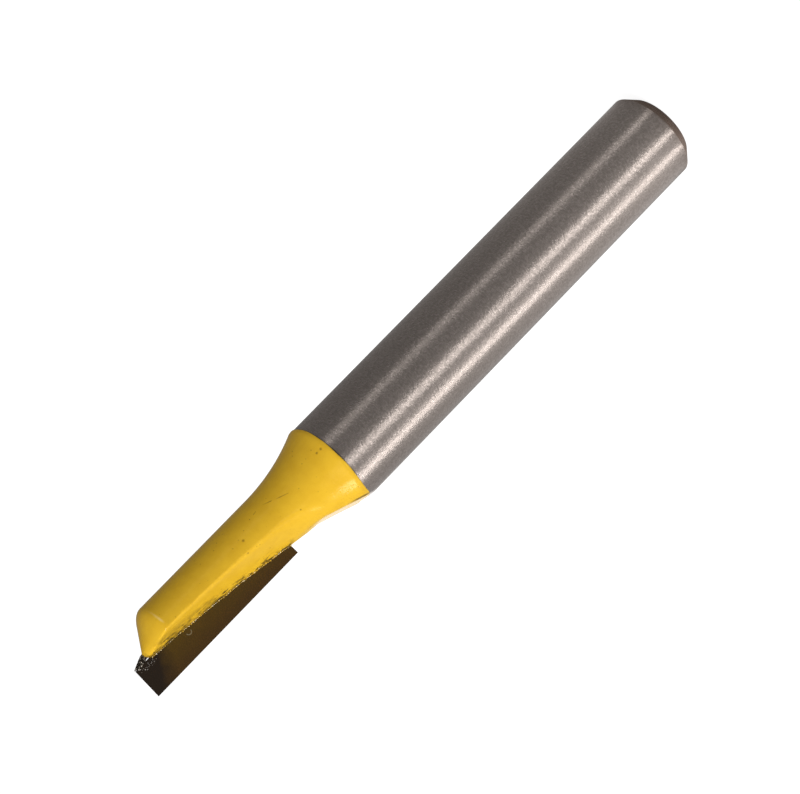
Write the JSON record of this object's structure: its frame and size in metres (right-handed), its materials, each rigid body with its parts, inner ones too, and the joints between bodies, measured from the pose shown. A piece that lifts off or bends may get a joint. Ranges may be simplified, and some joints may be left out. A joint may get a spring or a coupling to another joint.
{
  "type": "router bit",
  "caption": "Straight router bit with a plain round shank, a curved neck to a slimmer painted cutter body, and a carbide blade brazed into it.",
  "frame": {"origin": "centre of the shank's flat end face", "axes": "+Z along the axis from the shank's end to the cutter's tip; -Y the way the rake face looks; -X the side of the cutting edge"},
  "size_m": [0.0064, 0.0064, 0.0508],
  "materials": {
    "shank_steel": "cylindrically ground bare steel",
    "blade_carbide": "dark polished carbide",
    "braze": "dull braze with flux residue",
    "body_paint": "satin yellow enamel"
  },
  "bodies": {
    "root": {"steel_body": "shank_steel", "carbide_blade": "blade_carbide", "braze_joint": "braze", "paint_coat": "body_paint"}
  },
  "joints": []
}
